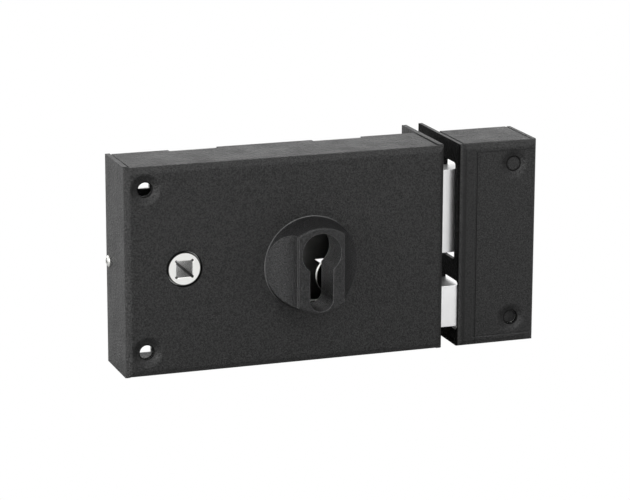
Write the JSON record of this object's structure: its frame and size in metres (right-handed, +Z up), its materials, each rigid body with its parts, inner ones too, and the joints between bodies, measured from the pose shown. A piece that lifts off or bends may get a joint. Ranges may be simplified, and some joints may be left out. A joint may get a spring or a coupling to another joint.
{
  "type": "rim night latch",
  "caption": "Surface-mounted sheet steel lock case with a handle follower, a guarded profile cylinder hole, a latch bolt, a deadbolt and a box strike.",
  "frame": {"origin": "on the key cylinder's axis, in the plane of the door's face (the back plate's rear face)", "axes": "+X along the lock toward the strike, -Y out of the front face, +Z up"},
  "size_m": [0.1844, 0.0621, 0.0896],
  "materials": {
    "case_enamel": "dark grey satin powder coat",
    "guard_black": "black satin enamel",
    "zinc_sheet": "bright zinc plate",
    "bolt_steel": "ground and nickel plated",
    "follower_steel": "turned and zinc plated",
    "spring_steel": "drawn spring steel",
    "screw_steel": "zinc plated"
  },
  "bodies": {
    "case": {"case_cover": "case_enamel", "back_plate": "zinc_sheet", "cylinder_guard": "guard_black", "guard_rivets": "zinc_sheet", "end_screw": "screw_steel", "spindle_bush": "zinc_sheet", "pillars": "zinc_sheet", "latch_guide": "zinc_sheet", "deadbolt_guide": "zinc_sheet", "spring_anchor": "zinc_sheet", "latch_spring": "spring_steel", "detent_spring": "spring_steel", "strike_cover": "case_enamel", "strike_sleeves": "zinc_sheet", "strike_plugs": "case_enamel", "cam_fence": "zinc_sheet"},
    "follower": {"follower": "follower_steel"},
    "latch": {"latch_bolt": "bolt_steel", "latch_tail": "zinc_sheet", "latch_rivets": "zinc_sheet"},
    "deadbolt": {"deadbolt": "bolt_steel", "deadbolt_tail": "zinc_sheet", "deadbolt_rivets": "zinc_sheet"}
  },
  "joints": [
    {"name": "follower_turn", "type": "hinge", "parent": "case", "child": "follower", "pos_m": [-0.0555, -0.015, -0.0049], "axis": [0, -1, 0], "range_deg": [0, 41]},
    {"name": "latch_slide", "type": "slide", "parent": "case", "child": "latch", "axis": [1, 0, 0], "range_m": [-0.015, 0], "stiffness_N_per_m": 250, "springref_m": 0.012, "deforming": ["latch_spring"]},
    {"name": "deadbolt_slide", "type": "slide", "parent": "case", "child": "deadbolt", "axis": [1, 0, 0], "range_m": [-0.015, 0]}
  ],
  "couplings": [
    {"joint": "follower_turn", "follows": "latch_slide", "rad_per_m": -47.7}
  ]
}
